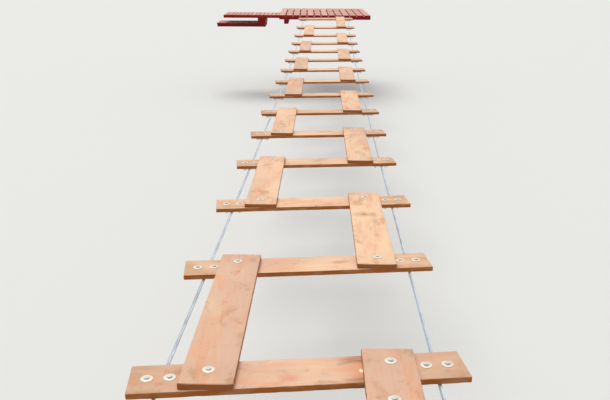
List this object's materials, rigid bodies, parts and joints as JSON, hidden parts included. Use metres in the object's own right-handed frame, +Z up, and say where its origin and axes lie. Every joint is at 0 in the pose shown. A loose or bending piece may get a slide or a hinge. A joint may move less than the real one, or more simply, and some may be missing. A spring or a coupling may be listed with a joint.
{
  "type": "plank suspension footbridge",
  "caption": "Plank footbridge hung on two parallel steel cables, with cross boards, alternating step boards and a slatted timber landing at each end.",
  "frame": {"origin": "on the outer face of the near landing's rear beam, at the beam's mid height, in line with the middle of the first cross board", "axes": "+Y square to the landings, from the near landing to the far landing, +X along the landings' beams to the right of someone walking that way, +Z up"},
  "size_m": [2.88, 17.1544, 0.3266],
  "materials": {
    "stained_board": "salmon-orange stained softwood boards, worn pale in patches",
    "deck_slats": "pinkish red stained slats, dusty",
    "red_timber": "dark red stained timber",
    "galvanised_cable": "galvanised wire rope and zinc plated clamps"
  },
  "bodies": {
    "root": {"cross_board_00": "stained_board", "cross_board_01": "stained_board", "cross_board_02": "stained_board", "cross_board_03": "stained_board", "cross_board_04": "stained_board", "cross_board_05": "stained_board", "cross_board_06": "stained_board", "cross_board_07": "stained_board", "cross_board_08": "stained_board", "cross_board_09": "stained_board", "cross_board_10": "stained_board", "cross_board_11": "stained_board", "cross_board_12": "stained_board", "cross_board_13": "stained_board", "cross_board_14": "stained_board", "cross_board_15": "stained_board", "step_board_00": "stained_board", "step_board_01": "stained_board", "step_board_02": "stained_board", "step_board_03": "stained_board", "step_board_04": "stained_board", "step_board_05": "stained_board", "step_board_06": "stained_board", "step_board_07": "stained_board", "step_board_08": "stained_board", "step_board_09": "stained_board", "step_board_10": "stained_board", "step_board_11": "stained_board", "step_board_12": "stained_board", "step_board_13": "stained_board", "step_board_14": "stained_board", "cable_left_1": "galvanised_cable", "cable_left_2": "galvanised_cable", "cable_left_3": "galvanised_cable", "cable_left_4": "galvanised_cable", "cable_right_1": "galvanised_cable", "cable_right_2": "galvanised_cable", "cable_right_3": "galvanised_cable", "cable_right_4": "galvanised_cable", "near_front_beam": "red_timber", "near_middle_beam": "red_timber", "near_rear_beam": "red_timber", "near_bearer_left": "red_timber", "near_bearer_right": "red_timber", "near_deck": "deck_slats", "far_front_beam": "red_timber", "far_middle_beam": "red_timber", "far_rear_beam": "red_timber", "far_bearer_left": "red_timber", "far_bearer_right": "red_timber", "far_deck": "deck_slats", "wing_deck": "deck_slats", "wing_front_beam": "red_timber", "wing_rear_beam": "red_timber", "wing_bearer": "red_timber", "side_step_deck": "deck_slats", "side_step_bearer_front": "red_timber", "side_step_bearer_rear": "red_timber"}
  },
  "joints": []
}
